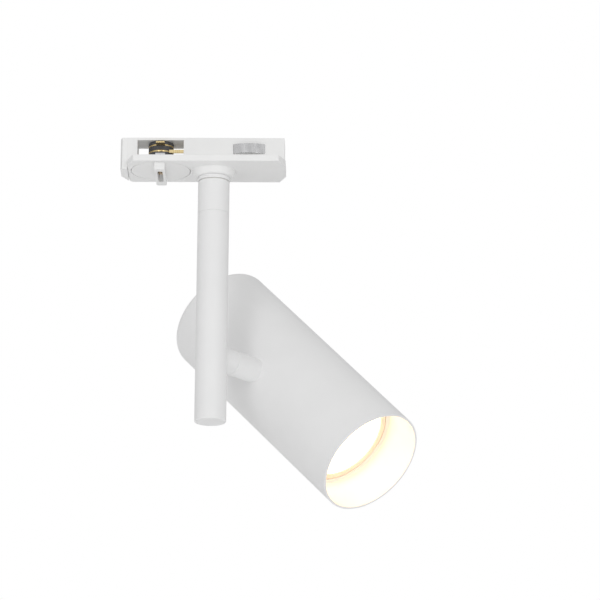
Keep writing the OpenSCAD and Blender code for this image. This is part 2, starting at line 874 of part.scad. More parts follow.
module driver_board() {
    color("seagreen") head_frame() {
        block([-10, -0.8, lamp_base_z + 3], [10, 0.8, lamp_base_z + 20]);
        translate([-4, 0.7, lamp_base_z + 11]) rotate([-90, 0, 0]) cylinder(h = 7, r = 3.4);
        block([1.5, 0.7, lamp_base_z + 8], [7.5, 5, lamp_base_z + 15]);
    }
}

module lamp_pins() {
    color("silver") head_frame() for (side = [-1, 1]) translate([0, side * pin_pitch / 2, 0]) {
        translate([0, 0, lamp_base_z - pin_l]) cylinder(h = 3.2, r = pin_head_r);
        translate([0, 0, lamp_base_z - pin_l + 1]) cylinder(h = pin_l + 1.5, r = pin_r);
    }
}

adapter_cover();
adapter_base();
adapter_lid();
base_screws();
neck_ring();
pan_nipple();
nipple_washer();
nipple_nut();
live_strip();
neutral_strip();
earth_spring();
retaining_spring();
live_lead_adapter();
neutral_lead_adapter();
earth_lead_adapter();
cable_adapter();
lock_lever();
contact_rotor();
lock_cam();
live_blade();
neutral_blade();
rotor_screw();
rotor_circlip();
pole_sleeve();
pan_bush();
pan_spring();
pan_stop_pin();
pole_tube();
pole_end_plug();
stub_fixed();
tilt_tube();
tilt_nut_pole();
tilt_nut_head();
tilt_spring();
tilt_washer();
cable_pole();
head_housing();
stub_turning();
saddle_washer();
lamp_bracket();
lampholder();
holder_screws();
holder_contacts();
earth_tag();
earth_screw();
lamp_collar();
cable_head();
live_lead_head();
neutral_lead_head();
earth_lead_head();
lamp_shell();
lamp_lens();
led_board();
driver_board();
lamp_pins();
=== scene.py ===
# Track spotlight: detailed meshes, finishes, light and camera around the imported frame.
# Everything is in metres, in the frame of the model: X runs along the track and Z points up.
import json
import math

import bmesh
import bpy
from mathutils import Matrix, Vector


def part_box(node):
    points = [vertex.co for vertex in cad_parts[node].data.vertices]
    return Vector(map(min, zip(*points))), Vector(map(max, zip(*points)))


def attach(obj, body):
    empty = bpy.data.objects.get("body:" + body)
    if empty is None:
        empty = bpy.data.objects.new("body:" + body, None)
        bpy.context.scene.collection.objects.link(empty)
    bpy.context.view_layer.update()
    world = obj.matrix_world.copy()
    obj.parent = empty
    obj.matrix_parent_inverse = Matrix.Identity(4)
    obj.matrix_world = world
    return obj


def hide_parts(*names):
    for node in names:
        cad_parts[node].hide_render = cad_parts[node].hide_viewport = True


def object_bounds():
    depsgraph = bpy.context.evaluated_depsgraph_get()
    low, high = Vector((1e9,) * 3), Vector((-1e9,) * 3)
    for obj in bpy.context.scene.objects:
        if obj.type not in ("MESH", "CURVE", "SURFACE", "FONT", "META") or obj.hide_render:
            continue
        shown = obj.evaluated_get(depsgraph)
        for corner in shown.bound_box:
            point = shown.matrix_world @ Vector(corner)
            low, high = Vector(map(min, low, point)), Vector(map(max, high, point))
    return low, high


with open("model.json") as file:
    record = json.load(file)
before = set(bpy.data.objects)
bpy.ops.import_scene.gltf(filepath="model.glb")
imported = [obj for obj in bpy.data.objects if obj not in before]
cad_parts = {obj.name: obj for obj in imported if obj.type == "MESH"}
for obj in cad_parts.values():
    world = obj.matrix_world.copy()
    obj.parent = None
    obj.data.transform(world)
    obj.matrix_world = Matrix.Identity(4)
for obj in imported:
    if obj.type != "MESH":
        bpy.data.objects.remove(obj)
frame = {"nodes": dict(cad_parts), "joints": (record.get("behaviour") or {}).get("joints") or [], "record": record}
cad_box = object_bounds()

MM = 0.001
NODES = frame["nodes"]
JOINTS = {joint["name"]: joint for joint in frame["joints"]}
BODY_OF = {node: body for body, nodes in frame["record"]["behaviour"]["bodies"].items() for node in nodes}
SLOT_OF = {part["node"]: part["material_slot"] for part in frame["record"]["subparts"]}

ROUND_STEPS = 5
FINE_STEPS = 8
EDGE_STEPS = 3
BEVEL_STEPS = 2
SMOOTH_ANGLE = math.radians(32)


# ---- camera ----

CAMERA_PLACE = Vector((0.07805, -1.90727, -0.64642))
CAMERA_YAW = math.radians(-1.01)
CAMERA_PITCH = math.radians(16.77)
CAMERA_ROLL = math.radians(0.51)
CAMERA_LENS = 236.68


def make_camera():
    """A long lens below the track, looking up at the lamp."""
    level = Vector((math.sin(CAMERA_YAW), math.cos(CAMERA_YAW), 0))
    side = Vector((math.cos(CAMERA_YAW), -math.sin(CAMERA_YAW), 0))
    ahead = math.cos(CAMERA_PITCH) * level + math.sin(CAMERA_PITCH) * Vector((0, 0, 1))
    above = side.cross(ahead)
    right = math.cos(CAMERA_ROLL) * side + math.sin(CAMERA_ROLL) * above
    up = math.cos(CAMERA_ROLL) * above - math.sin(CAMERA_ROLL) * side
    data = bpy.data.cameras.new("camera")
    data.lens = CAMERA_LENS
    data.sensor_width = 36
    data.clip_start = 0.05
    data.clip_end = 60
    camera = bpy.data.objects.new("camera", data)
    bpy.context.scene.collection.objects.link(camera)
    turn = Matrix((right, up, -ahead)).transposed()
    camera.matrix_world = Matrix.Translation(CAMERA_PLACE) @ turn.to_4x4()
    bpy.context.scene.camera = camera


# ---- places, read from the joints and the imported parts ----

def place(origin, z_axis, x_axis):
    """The matrix of a local frame with that origin, Z axis and X axis."""
    z = Vector(z_axis).normalized()
    y = z.cross(Vector(x_axis)).normalized()
    turn = Matrix((y.cross(z), y, z)).transposed()
    return Matrix.Translation(Vector(origin)) @ turn.to_4x4()


TILT_AXIS = Vector(JOINTS["tilt"]["axis"])
HEAD_AXIS = Vector(JOINTS["lamp_twist"]["axis"])
POLE = Matrix.Identity(4)
LOCK = Matrix.Translation(Vector(JOINTS["lock_turn"]["pos_m"]))
STUB = place(JOINTS["tilt"]["pos_m"], TILT_AXIS, (0, 0, 1))
HEAD = place(JOINTS["lamp_twist"]["pos_m"], HEAD_AXIS, TILT_AXIS)


def measure(node, where):
    """Lowest level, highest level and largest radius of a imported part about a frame's Z axis."""
    inverse = where.inverted()
    points = [inverse @ vertex.co for vertex in NODES[node].data.vertices]
    levels = [p.z for p in points]
    return min(levels), max(levels), max(math.hypot(p.x, p.y) for p in points)


# ---- outlines ----

def fillet(before, corner, after, radius, steps):
    """Points of an arc that rounds a corner of an outline."""
    a = (Vector(before) - Vector(corner)).normalized()
    b = (Vector(after) - Vector(corner)).normalized()
    half = math.acos(max(-1.0, min(1.0, a.dot(b)))) / 2
    centre = Vector(corner) + (a + b).normalized() * (radius / math.sin(half))
    start = Vector(corner) + a * (radius / math.tan(half)) - centre
    sweep = math.pi - 2 * half
    turn = 1 if a.cross(b) < 0 else -1
    points = []
    for i in range(steps + 1):
        angle = turn * sweep * i / steps
        c, s = math.cos(angle), math.sin(angle)
        points.append((centre.x + c * start.x - s * start.y, centre.y + s * start.x + c * start.y))
    return points


def rounded(outline, closed=True, steps=ROUND_STEPS):
    """An outline of (x, y, radius) corners as plain points, with each corner rounded by its radius."""
    points = []
    count = len(outline)
    for i, (x, y, radius) in enumerate(outline):
        end = not closed and i in (0, count - 1)
        if radius == 0 or end:
            points.append((x, y))
            continue
        before = outline[i - 1][:2]
        after = outline[(i + 1) % count][:2]
        points += fillet(before, (x, y), after, radius, steps)
    return points


def circle(radius, count, centre=(0, 0)):
    """A closed outline of evenly spaced points."""
    angles = [2 * math.pi * i / count for i in range(count)]
    return [(centre[0] + radius * math.cos(a), centre[1] + radius * math.sin(a)) for a in angles]


def inset(points, distance):
    """A closed outline, given anticlockwise, moved inward by a distance."""
    moved = []
    count = len(points)
    for i in range(count):
        here = Vector(points[i])
        back = (here - Vector(points[i - 1])).normalized()
        ahead = (Vector(points[(i + 1) % count]) - here).normalized()
        inward = Vector((-back.y - ahead.y, back.x + ahead.x)).normalized()
        stretch = max(0.3, inward.dot(Vector((-back.y, back.x))))
        moved.append(tuple(here + inward * (distance / stretch)))
    return moved


# ---- mesh building ----

class Shell:
    """Collects rings of points and the faces between them."""

    def __init__(self):
        self.bm = bmesh.new()

    def ring(self, points, level):
        return [self.bm.verts.new((x, y, level)) for x, y in points]

    def wall(self, low, high):
        """Quads between two rings of the same count."""
        count = len(low)
        for i in range(count):
            j = (i + 1) % count
            self.bm.faces.new((low[i], low[j], high[j], high[i]))

    def walls(self, rings):
        for low, high in zip(rings, rings[1:]):
            self.wall(low, high)

    def tip(self, ring, point):
        """Triangles from a ring to one point."""
        top = self.bm.verts.new(point)
        for i in range(len(ring)):
            self.bm.faces.new((ring[i], ring[(i + 1) % len(ring)], top))

    def cap(self, outer, holes=()):
        """A flat face inside a ring, with holes left open."""
        edges = []
        for ring in (outer, *holes):
            for i in range(len(ring)):
                pair = (ring[i], ring[(i + 1) % len(ring)])
                edges.append(self.bm.edges.get(pair) or self.bm.edges.new(pair))
        bmesh.ops.triangle_fill(self.bm, edges=edges, use_beauty=True)

    def rounded_edge(self, outline, level, radius, side):
        """Rings from a face round an edge into a wall, with the wall outside the face (side 1) or
        inside it (side -1). The wall runs up, or down where the radius is negative."""
        rings = []
        for i in range(EDGE_STEPS + 1):
            angle = math.pi / 2 * i / EDGE_STEPS
            offset = side * radius * (1 - math.sin(angle))
            rings.append(self.ring(inset(outline, offset), level + radius * (1 - math.cos(angle))))
        return rings

    def edge_rings(self, outline, low, high, radius):
        """Rings up the side of a plate whose two edges are rounded by a radius."""
        lower = self.rounded_edge(outline, low, radius, 1)
        upper = self.rounded_edge(outline, high, -radius, -1)
        return lower + upper[::-1]

    def turned(self, outline, segments, warp=None):
        """Turns an outline of (radius, level) points about the Z axis. warp moves each ring's points."""
        rings = []
        for radius, level in outline:
            if radius == 0:
                rings.append((0, 0, level))
                continue
            ring = self.ring(circle(radius, segments), level)
            if warp:
                for vertex in ring:
                    vertex.co.z = warp(vertex.co)
            rings.append(ring)
        for a, b in zip(rings, rings[1:]):
            if isinstance(a, tuple):
                self.tip(b, a)
            elif isinstance(b, tuple):
                self.tip(a, b)
            else:
                self.wall(a, b)
        if not isinstance(rings[0], tuple):
            self.wall(rings[-1], rings[0])
        return self

    def piece(self, name, where, body, slot, replaced):
        """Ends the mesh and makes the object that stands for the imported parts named."""
        bmesh.ops.recalc_face_normals(self.bm, faces=self.bm.faces)
        mesh = bpy.data.meshes.new(name)
        self.bm.transform(where)
        self.bm.to_mesh(mesh)
        self.bm.free()
        obj = bpy.data.objects.new(name, mesh)
        bpy.context.scene.collection.objects.link(obj)
        return dress(obj, body, slot, replaced)


def even_normals(obj):
    """Smooth shading inside the smooth angle, weighted by face area, applied to the mesh."""
    mesh = obj.data
    mesh.shade_smooth()
    mesh.set_sharp_from_angle(angle=SMOOTH_ANGLE)
    weighted = obj.modifiers.new("weighted", "WEIGHTED_NORMAL")
    weighted.keep_sharp = True
    apply_modifiers(obj)


def apply_modifiers(obj):
    """Replaces an object's mesh by the result of its modifiers."""
    graph = bpy.context.evaluated_depsgraph_get()
    baked = bpy.data.meshes.new_from_object(obj.evaluated_get(graph), depsgraph=graph)
    obj.modifiers.clear()
    old, obj.data = obj.data, baked
    baked.name = obj.name
    bpy.data.meshes.remove(old)


def dress(obj, body, slot, replaced):
    """Shading, material, body and replaced nodes of a new piece."""
    even_normals(obj)
    obj.data.materials.clear()
    obj.data.materials.append(MATERIALS[slot])
    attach(obj, body)
    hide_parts(*replaced)
    return obj


MERGE_DISTANCE = 0.001 * MM
FLAT_ANGLE = math.radians(0.6)
SHARP_ANGLE = math.radians(35)


def softened(node, width):
    """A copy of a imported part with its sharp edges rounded."""
    mesh = NODES[node].data.copy()
    bm = bmesh.new()
    bm.from_mesh(mesh)
    bmesh.ops.remove_doubles(bm, verts=bm.verts, dist=MERGE_DISTANCE)
    bmesh.ops.dissolve_limit(bm, angle_limit=FLAT_ANGLE, verts=bm.verts, edges=bm.edges)
    bm.to_mesh(mesh)
    bm.free()
    for name in ("custom_normal", "sharp_edge", "sharp_face"):
        if name in mesh.attributes:
            mesh.attributes.remove(mesh.attributes[name])
    obj = bpy.data.objects.new(node + "_soft", mesh)
    bpy.context.scene.collection.objects.link(obj)
    bevel = obj.modifiers.new("edges", "BEVEL")
    bevel.width = width
    bevel.segments = BEVEL_STEPS
    bevel.limit_method = "ANGLE"
    bevel.angle_limit = SHARP_ANGLE
    bevel.use_clamp_overlap = True
    apply_modifiers(obj)
    return dress(obj, BODY_OF[node], SLOT_OF[node], [node])


# ---- materials ----

class Finish:
    """A procedural material on one Principled shader, in each part's own coordinates."""

    def __init__(self, name, colour, roughness, metallic=0.0, sockets=()):
        self.material = bpy.data.materials.new(name)
        self.material.use_nodes = True
        self.tree = self.material.node_tree
        self.shader = self.tree.nodes["Principled BSDF"]
        self.coords = self.tree.nodes.new("ShaderNodeTexCoord").outputs["Object"]
        self.shader.inputs["Base Color"].default_value = (*colour, 1)
        self.shader.inputs["Roughness"].default_value = roughness
        self.shader.inputs["Metallic"].default_value = metallic
        for socket, value in sockets:
            self.shader.inputs[socket].default_value = value
        self.roughness = roughness

    def node(self, kind, **values):
        made = self.tree.nodes.new(kind)
        for name, value in values.items():
            setattr(made, name, value)
        return made

    def link(self, source, target):
        self.tree.links.new(source, target)

    def stretched(self, scale):
        """The part's coordinates, scaled by a different amount along each axis."""
        mapping = self.node("ShaderNodeMapping")
        mapping.inputs["Scale"].default_value = scale
        self.link(self.coords, mapping.inputs["Vector"])
        return mapping.outputs["Vector"]

    def noise(self, scale, detail=3.0, rough=0.55, coords=None):
        noise = self.node("ShaderNodeTexNoise")
        noise.inputs["Scale"].default_value = scale
        noise.inputs["Detail"].default_value = detail
        noise.inputs["Roughness"].default_value = rough
        self.link(coords or self.coords, noise.inputs["Vector"])
        return noise.outputs["Fac"]

    def spread(self, fac, low, high, start=0.3, end=0.7):
        """Maps a noise value to a range."""
        ramp = self.node("ShaderNodeMapRange")
        for socket, value in (("From Min", start), ("From Max", end), ("To Min", low), ("To Max", high)):
            ramp.inputs[socket].default_value = value
        self.link(fac, ramp.inputs["Value"])
        return ramp.outputs["Result"]

    def mottle(self, scale, darker, lighter):
        """Slow drifts of colour between a darker and a lighter tone."""
        mix = self.node("ShaderNodeMix", data_type="RGBA")
        mix.inputs["A"].default_value = (*darker, 1)
        mix.inputs["B"].default_value = (*lighter, 1)
        self.link(self.spread(self.noise(scale), 0, 1), mix.inputs["Factor"])
        self.base = mix.outputs["Result"]
        self.link(self.base, self.shader.inputs["Base Color"])
        return self

    def worn(self, colour, amount):
        """A second tone that shows along raised edges."""
        point = self.node("ShaderNodeNewGeometry").outputs["Pointiness"]
        edge = self.spread(point, 0, amount, 0.52, 0.6)
        mix = self.node("ShaderNodeMix", data_type="RGBA")
        self.link(edge, mix.inputs["Factor"])
        self.link(self.base, mix.inputs["A"])
        mix.inputs["B"].default_value = (*colour, 1)
        self.link(mix.outputs["Result"], self.shader.inputs["Base Color"])
        return self

    def uneven(self, scale, amount, coords=None):
        """Drifts of roughness about its mean."""
        fac = self.noise(scale, 4.0, 0.6, coords)
        rough = self.spread(fac, self.roughness - amount, self.roughness + amount)
        self.link(rough, self.shader.inputs["Roughness"])
        return self

    def grain(self, *layers, coords=None):
        """Bumps of given (scale, height in metres), coarse first."""
        normal = None
        for scale, height in layers:
            bump = self.node("ShaderNodeBump")
            bump.inputs["Strength"].default_value = 1.0
            bump.inputs["Distance"].default_value = height
            self.link(self.noise(scale, 2.0, 0.5, coords), bump.inputs["Height"])
            if normal:
                self.link(normal, bump.inputs["Normal"])
            normal = bump.outputs["Normal"]
        self.link(normal, self.shader.inputs["Normal"])
        return self


def powder_coat():
    """Satin white powder coat: orange peel over a fine grain."""
    finish = Finish("white_paint", (0.86, 0.86, 0.86), 0.46)
    finish.mottle(38, (0.845, 0.845, 0.845), (0.868, 0.868, 0.868))
    finish.uneven(420, 0.06)
    finish.grain((620, 0.000012), (3200, 0.000004))
    return finish.material


def moulded(name, colour, roughness):
    """Spark-textured moulded plastic with faint flow marks."""
    finish = Finish(name, colour, roughness, sockets=[("Specular IOR Level", 0.45)])
    darker = tuple(0.97 * c for c in colour)
    finish.mottle(55, darker, colour)
    finish.uneven(260, 0.05)
    finish.grain((1500, 0.000007), (5200, 0.000003))
    return finish.material


def plated(name, colour, roughness, worn):
    """Plated or rolled metal with fine drawn lines, stains and bright edges."""
    finish = Finish(name, colour, roughness, 1.0)
    finish.mottle(240, tuple(0.78 * c for c in colour), colour)
    finish.worn(worn, 0.6)
    lines = finish.stretched((1, 1, 0.06))
    finish.uneven(2600, 0.09, lines)
    finish.grain((4200, 0.0000025), coords=lines)
    return finish.material


def rubbery(name, colour, roughness):
    """Extruded insulation: long die lines and a little dust."""
    finish = Finish(name, colour, roughness)
    finish.mottle(300, tuple(0.9 * c for c in colour), colour)
    finish.uneven(900, 0.08)
    finish.grain((1800, 0.000006), (6000, 0.000002))
    return finish.material


def ceramic():
    """Unglazed steatite: specks in a fine dry grain."""
    finish = Finish("ceramic", (0.86, 0.84, 0.78), 0.62)
    finish.mottle(1300, (0.80, 0.77, 0.70), (0.88, 0.86, 0.80))
    finish.uneven(700, 0.08)
    finish.grain((2400, 0.000012), (7000, 0.000005))
    return finish.material


LAMP_STRENGTH = 5.0
LAMP_COLOUR = (1.0, 0.60, 0.26, 1)


def lens():
    """Frosted diffuser of the lit lamp."""
    glow = [("Emission Color", LAMP_COLOUR), ("Emission Strength", LAMP_STRENGTH)]
    finish = Finish("lamp_lens", (0.95, 0.93, 0.88), 0.5, sockets=glow)
    finish.mottle(500, (0.92, 0.90, 0.85), (0.97, 0.95, 0.91))
    finish.uneven(800, 0.07)
    finish.grain((2200, 0.00001))
    return finish.material


def board(name, colour, track_colour):
    """A circuit board: solder mask over raised copper tracks."""
    finish = Finish(name, colour, 0.34)
    tracks = finish.node("ShaderNodeTexBrick")
    tracks.inputs["Scale"].default_value = 320
    tracks.inputs["Mortar Size"].default_value = 0.035
    tracks.inputs["Color1"].default_value = (*colour, 1)
    tracks.inputs["Color2"].default_value = (*(0.9 * c for c in colour), 1)
    tracks.inputs["Mortar"].default_value = (*track_colour, 1)
    finish.link(finish.coords, tracks.inputs["Vector"])
    finish.link(tracks.outputs["Color"], finish.shader.inputs["Base Color"])
    finish.uneven(1200, 0.07)
    finish.grain((2600, 0.000006))
    return finish.material


MATERIALS = {
    "white_paint": powder_coat(),
    "white_plastic": moulded("white_plastic", (0.90, 0.90, 0.895), 0.4),
    "dark_plastic": moulded("dark_plastic", (0.07, 0.07, 0.075), 0.5),
    "nylon": moulded("nylon", (0.84, 0.82, 0.74), 0.42),
    "lamp_plastic": moulded("lamp_plastic", (0.84, 0.78, 0.68), 0.36),
    "zinc_steel": plated("zinc_steel", (0.62, 0.63, 0.65), 0.34, (0.80, 0.80, 0.80)),
    "spring_steel": plated("spring_steel", (0.66, 0.66, 0.67), 0.26, (0.85, 0.85, 0.85)),
    "brass": plated("brass", (0.80, 0.60, 0.28), 0.3, (0.93, 0.78, 0.45)),
    "copper_screw": plated("copper_screw", (0.66, 0.52, 0.36), 0.5, (0.76, 0.62, 0.45)),
    "nickel_pins": plated("nickel_pins", (0.70, 0.69, 0.65), 0.22, (0.86, 0.85, 0.82)),
    "cable_sheath": rubbery("cable_sheath", (0.80, 0.80, 0.77), 0.55),
    "brown_insulation": rubbery("brown_insulation", (0.22, 0.10, 0.045), 0.42),
    "blue_insulation": rubbery("blue_insulation", (0.04, 0.14, 0.52), 0.42),
    "green_insulation": rubbery("green_insulation", (0.16, 0.46, 0.06), 0.42),
    "ceramic": ceramic(),
    "lamp_lens": lens(),
    "lamp_board": board("lamp_board", (0.84, 0.85, 0.84), (0.74, 0.75, 0.73)),
    "circuit_board": board("circuit_board", (0.03, 0.20, 0.08), (0.06, 0.34, 0.13)),
}


def dress_packed_parts():
    """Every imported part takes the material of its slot."""
    for name, obj in NODES.items():
        for slot in obj.material_slots:
            slot.material = MATERIALS[SLOT_OF[name]]


# ---- adapter ----

PLATE_LOW = -3.3 * MM
COVER_ROUND = 0.3 * MM
CORNER_ROUND = 0.8 * MM
GAP_ROUND = 0.2 * MM
END_CUT = (3.4 * MM, 8.6 * MM)
KEY_CUT = (1.2 * MM, 2.0 * MM)
ROTOR_HOLE = 6.7 * MM
NIPPLE_HOLE = 4.1 * MM
DISC_GAP = 0.25 * MM
RECESS_GAP = 0.1 * MM
DISC_SIDES = 144
BOSS_R = 11 * MM
BOSS_DRAFT = 1.1 * MM
BOSS_ROUND = 1.5 * MM
BOSS_GROOVE = 0.12 * MM
BOSS_FOOT = 0.5 * MM


def cover_outline():
    """The plate in plan: three corners cut off deeply and the fourth, the key, only a little."""
    low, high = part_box("adapter_cover")
    cut_x, cut_y = END_CUT
    key_x, key_y = KEY_CUT
    half = high.y
    short = half - cut_y
    corners = [(high.x, -short), (high.x, short), (high.x - cut_x, half), (low.x + key_x, half),
               (low.x, half - key_y), (low.x, -short), (low.x + cut_x, -half), (high.x - cut_x, -half)]
    return rounded([(x, y, CORNER_ROUND) for x, y in corners])


def make_cover():
    """One moulding: the plate, the recess round the disc and the boss over the neck."""
    low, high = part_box("adapter_cover")
    disc_low, disc_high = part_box("lock_lever")
    disc = circle((disc_high.x - disc_low.x) / 2 + DISC_GAP, DISC_SIDES, LOCK.translation.xy)
    rotor = circle(ROTOR_HOLE, DISC_SIDES, LOCK.translation.xy)
    nipple = circle(NIPPLE_HOLE, DISC_SIDES)
    recess = disc_high.z + RECESS_GAP
    shell = Shell()
    sides = shell.edge_rings(cover_outline(), PLATE_LOW, high.z, COVER_ROUND)
    shell.walls(sides)
    hollow = shell.rounded_edge(disc, PLATE_LOW, GAP_ROUND, -1)
    hollow += [shell.ring(disc, recess), shell.ring(rotor, recess), shell.ring(rotor, high.z)]
    shell.walls(hollow)
    boss = [shell.ring(circle(radius, DISC_SIDES), level) for radius, level in boss_profile(low.z)]
    boss += [shell.ring(nipple, low.z + BOSS_GROOVE), shell.ring(nipple, high.z)]
    shell.walls(boss)
    shell.cap(sides[0], [hollow[0], boss[0]])
    shell.cap(sides[-1], [hollow[-1], boss[-1]])
    return shell.piece("cover_moulding", POLE, "adapter", "white_plastic", ["adapter_cover"])


def boss_profile(tip):
    """From the plate down a steep wall, over a round shoulder and up into a groove at the neck."""
    neck = measure("neck_ring", POLE)[2]
    lip = BOSS_R - BOSS_DRAFT
    groove = neck + BOSS_GROOVE
    return rounded([(BOSS_R + BOSS_FOOT, PLATE_LOW, 0), (BOSS_R, PLATE_LOW, BOSS_FOOT),
                    (lip, tip, BOSS_ROUND), (groove, tip, 0.05 * MM), (neck, tip + BOSS_GROOVE, 0)],
                   closed=False, steps=FINE_STEPS)


def make_neck_ring():
    """The ring between the boss and the pole."""
    low, high, radius = measure("neck_ring", POLE)
    outline = rounded([(NIPPLE_HOLE, high, 0), (radius, high, 0.1 * MM), (radius, low, 0.35 * MM),
                       (NIPPLE_HOLE, low, 0)])
    shell = Shell().turned(outline, POLE_SIDES)
    shell.piece("neck_collar", POLE, "adapter", "white_paint", ["neck_ring"])


# ---- locking lever ----

SCREW_HOLE = 1.0 * MM
BAR_LENGTH = 26.4 * MM
BAR_HALF = 2.65 * MM
BAR_SINK = 0.4 * MM
BAR_START = 0.15 * MM
BAR_ROUND = 1.3 * MM
WINDOW_HALF = 1.35 * MM
WINDOW_LENGTH = 16.8 * MM
WINDOW_START = 4 * MM
WINDOW_ROUND = 1.3 * MM
WINDOW_RIM = 0.15 * MM


def bar_outline(near):
    """The bar in plan: square where it starts at the rim of the disc, round at its far end."""
    near_round = 0.3 * MM
    start = near + BAR_START
    far = near + BAR_LENGTH
    return rounded([(-BAR_HALF, start, near_round), (BAR_HALF, start, near_round),
                    (BAR_HALF, far, BAR_ROUND), (-BAR_HALF, far, BAR_ROUND)], steps=FINE_STEPS)


def window_outline(near):
    """The slot along the bar."""
    start = near + WINDOW_START
    far = start + WINDOW_LENGTH
    corners = [(-WINDOW_HALF, start), (WINDOW_HALF, start), (WINDOW_HALF, far), (-WINDOW_HALF, far)]
    return rounded([(x, y, WINDOW_ROUND) for x, y in corners], steps=FINE_STEPS)


def make_lever():
    """The disc, and the bar across it with its window."""
    low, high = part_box("lock_lever")
    disc_r = (high.x - low.x) / 2
    bar_top = PLATE_LOW + BAR_SINK
    shell = Shell()
    shell.turned(rounded([(SCREW_HOLE, high.z, 0), (disc_r, high.z, 0.1 * MM),
                          (disc_r, PLATE_LOW, 0.22 * MM), (SCREW_HOLE, PLATE_LOW, 0)]), DISC_SIDES)
    sides = shell.edge_rings(bar_outline(-disc_r), low.z, bar_top, 0.2 * MM)
    shell.walls(sides)
    window = window_outline(-disc_r)
    rim = shell.rounded_edge(window, low.z, WINDOW_RIM, -1)
    rim.append(shell.ring(window, bar_top))
    shell.walls(rim)
    shell.cap(sides[0], [rim[0]])
    shell.cap(sides[-1], [rim[-1]])
    shell.piece("lever_moulding", LOCK, "lock", "white_plastic", ["lock_lever"])


# ---- pole ----

POLE_SIDES = 128
SLEEVE_BORE = 5.0 * MM
SLEEVE_WALL = 1.1 * MM
SLEEVE_SEAM = 0.02 * MM
BUSH_STEP = 0.6 * MM
BUSH_DEPTH = 3 * MM
TUBE_WALL = 1.0 * MM


def make_pole():
    """The sleeve, the tube below its seam and the plug that closes the end."""
    low, high, radius = measure("pole_sleeve", POLE)
    tube_low, seam, _ = measure("pole_tube", POLE)
    edge = seam + SLEEVE_SEAM
    spigot = radius - SLEEVE_WALL
    wide = SLEEVE_BORE + BUSH_STEP
    step = high - BUSH_DEPTH
    outline = rounded([(SLEEVE_BORE, high, 0), (radius, high, 0.45 * MM), (radius, edge, 0.16 * MM),
                       (spigot, edge, 0), (spigot, low, 0.1 * MM), (wide, low, 0), (wide, step, 0),
                       (SLEEVE_BORE, step, 0)])
    Shell().turned(outline, POLE_SIDES).piece("pole_upper", POLE, "pole", "white_paint", ["pole_sleeve"])
    inner = radius - TUBE_WALL
    outline = rounded([(inner, seam, 0), (radius, seam, 0.16 * MM), (radius, tube_low, 0.55 * MM),
                       (inner, tube_low, 0.1 * MM)])
    Shell().turned(outline, POLE_SIDES).piece("pole_lower", POLE, "pole", "white_paint", ["pole_tube"])
    low, high, radius = measure("pole_end_plug", POLE)
    outline = rounded([(0, low, 0), (radius, low, 0.12 * MM), (radius, high, 0.2 * MM), (0, high, 0)],
                      closed=False)
    Shell().turned(outline, POLE_SIDES).piece("pole_plug", POLE, "pole", "white_paint", ["pole_end_plug"])


STUB_SIDES = 112
STUB_R = 6.5 * MM
STUB_BORE = 3.05 * MM
STUB_ROOT = 2 * MM
STUB_BITE = 0.06 * MM


def make_stub():
    """The two halves of the arm, each cut to the round of what it stands on."""
    pole_r = measure("pole_tube", POLE)[2]
    head_r = measure("head_housing", HEAD)[2]
    split_low = measure("stub_fixed", STUB)[1]
    turning_low = measure("stub_turning", STUB)[0]
    reach = (HEAD.translation - STUB.translation).dot(TILT_AXIS)
    to_stub = STUB.inverted().to_3x3()
    across_head = (to_stub @ HEAD_AXIS.cross(TILT_AXIS)).normalized()
    across_pole = (to_stub @ Vector((0, 0, 1)).cross(TILT_AXIS)).normalized()

    def on_pole(co):
        if co.z >= STUB_ROOT:
            return co.z
        side = co.x * across_pole.x + co.y * across_pole.y
        return math.sqrt(pole_r ** 2 - side ** 2) - STUB_BITE

    def on_head(co):
        if co.z <= reach - STUB_ROOT:
            return co.z
        side = co.x * across_head.x + co.y * across_head.y
        return reach - math.sqrt(head_r ** 2 - side ** 2) + STUB_BITE

    outline = rounded([(STUB_BORE, 0, 0), (STUB_R, 0, 0), (STUB_R, split_low, 0.3 * MM),
                       (STUB_BORE, split_low, 0)])
    shell = Shell().turned(outline, STUB_SIDES, on_pole)
    shell.piece("stub_pole_half", STUB, "pole", "white_paint", ["stub_fixed"])
    outline = rounded([(STUB_BORE, turning_low, 0), (STUB_R, turning_low, 0.75 * MM), (STUB_R, reach, 0),
                       (STUB_BORE, reach, 0)])
    shell = Shell().turned(outline, STUB_SIDES, on_head)
    shell.piece("stub_head_half", STUB, "head", "white_paint", ["stub_turning"])


# ---- head ----

HEAD_SIDES = 192
CAN_STEPS = 10
HEAD_WALL = 1.2 * MM
HEAD_REAR_WALL = 2 * MM
SEAT_BORE = 25.45 * MM
SEAT_BITE = 0.1 * MM
SEAT_COVE = 1.3 * MM
LAMP_BASE = 13 * MM
LAMP_WALL = 1.6 * MM
LENS_GAP = 0.05 * MM
LENS_SAG = 0.5 * MM
LENS_RINGS = 12


def make_head():
    """The can: a round rear edge, a thin rim and a bore down to the lamp."""
    rear, front, radius = measure("head_housing", HEAD)
    inner = radius - HEAD_WALL
    floor = rear + HEAD_REAR_WALL
    outline = rounded([(0, rear, 0), (radius, rear, 3.5 * MM), (radius, front, 0.25 * MM),
                       (inner, front, 0.35 * MM), (inner, floor, 2.0 * MM), (0, floor, 0)],
                      closed=False, steps=CAN_STEPS)
    Shell().turned(outline, HEAD_SIDES).piece("head_can", HEAD, "head", "white_paint", ["head_housing"])


def make_collar():
    """The ring round the lamp, which runs up into the wall of the can in a cove."""
    low, high, radius = measure("lamp_collar", HEAD)
    outer = radius + SEAT_BITE
    top = high + SEAT_COVE
    outline = rounded([(SEAT_BORE, low, 0), (outer, low, 0), (outer, top, 0), (radius, top, 0),
                       (radius, high, 0.9 * SEAT_COVE), (SEAT_BORE, high, 0.1 * MM)], steps=FINE_STEPS)
    Shell().turned(outline, HEAD_SIDES).piece("lamp_seat", HEAD, "head", "white_paint", ["lamp_collar"])


